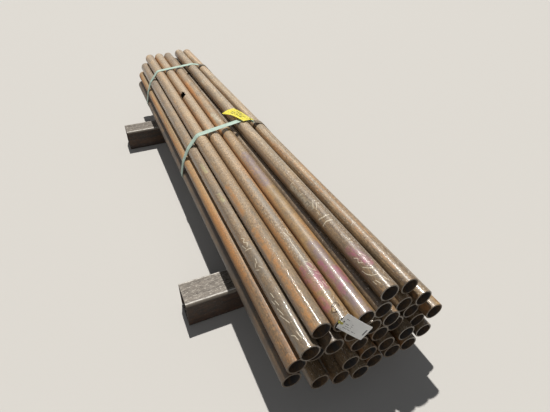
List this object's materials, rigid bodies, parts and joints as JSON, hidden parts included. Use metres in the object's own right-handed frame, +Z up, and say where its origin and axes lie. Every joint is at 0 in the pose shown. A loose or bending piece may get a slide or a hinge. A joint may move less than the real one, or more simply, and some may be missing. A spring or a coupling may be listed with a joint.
{
  "type": "bundle of steel pipes on cross members",
  "caption": "Strapped bundle of rusty steel pipes with open ends, two tags and their wires, lying across two square steel rails.",
  "frame": {"origin": "on the ground under the middle of the whole part's bounding box", "axes": "+X across the bundle to the right seen from its loose front ends, +Y along the pipes from the front ends to the rear ends, +Z up"},
  "size_m": [0.8028, 2.532, 0.4553],
  "materials": {
    "pipe_steel": "mill scale with light brown rust",
    "rail_steel": "rusty, worn grey on top",
    "strap_paint": "pale green paint",
    "tag_paper": "matt white card",
    "tag_wire": "bright wire",
    "tag_plastic": "yellow sheet",
    "clip_wire": "black plastic-coated wire"
  },
  "bodies": {
    "root": {"paper_tag": "tag_paper", "paper_tag_wire": "tag_wire", "pipe_bottom_1": "pipe_steel", "pipe_bottom_2": "pipe_steel", "pipe_bottom_3": "pipe_steel", "pipe_bottom_4": "pipe_steel", "pipe_bottom_5": "pipe_steel", "pipe_bottom_6": "pipe_steel", "pipe_bottom_7": "pipe_steel", "pipe_bottom_8": "pipe_steel", "pipe_fourth_1": "pipe_steel", "pipe_fourth_2": "pipe_steel", "pipe_fourth_3": "pipe_steel", "pipe_fourth_4": "pipe_steel", "pipe_fourth_5": "pipe_steel", "pipe_fourth_6": "pipe_steel", "pipe_fourth_7": "pipe_steel", "pipe_fourth_8": "pipe_steel", "pipe_second_1": "pipe_steel", "pipe_second_2": "pipe_steel", "pipe_second_3": "pipe_steel", "pipe_second_4": "pipe_steel", "pipe_second_5": "pipe_steel", "pipe_second_6": "pipe_steel", "pipe_third_1": "pipe_steel", "pipe_third_2": "pipe_steel", "pipe_third_3": "pipe_steel", "pipe_third_4": "pipe_steel", "pipe_third_5": "pipe_steel", "pipe_third_6": "pipe_steel", "pipe_third_7": "pipe_steel", "pipe_top_1": "pipe_steel", "pipe_top_2": "pipe_steel", "pipe_top_3": "pipe_steel", "pipe_top_4": "pipe_steel", "pipe_top_5": "pipe_steel", "plastic_tag": "tag_plastic", "plastic_tag_clip": "clip_wire", "rail_front": "rail_steel", "rail_rear": "rail_steel", "seal_middle": "strap_paint", "seal_rear": "strap_paint", "strap_middle": "strap_paint", "strap_rear": "strap_paint"}
  },
  "joints": []
}
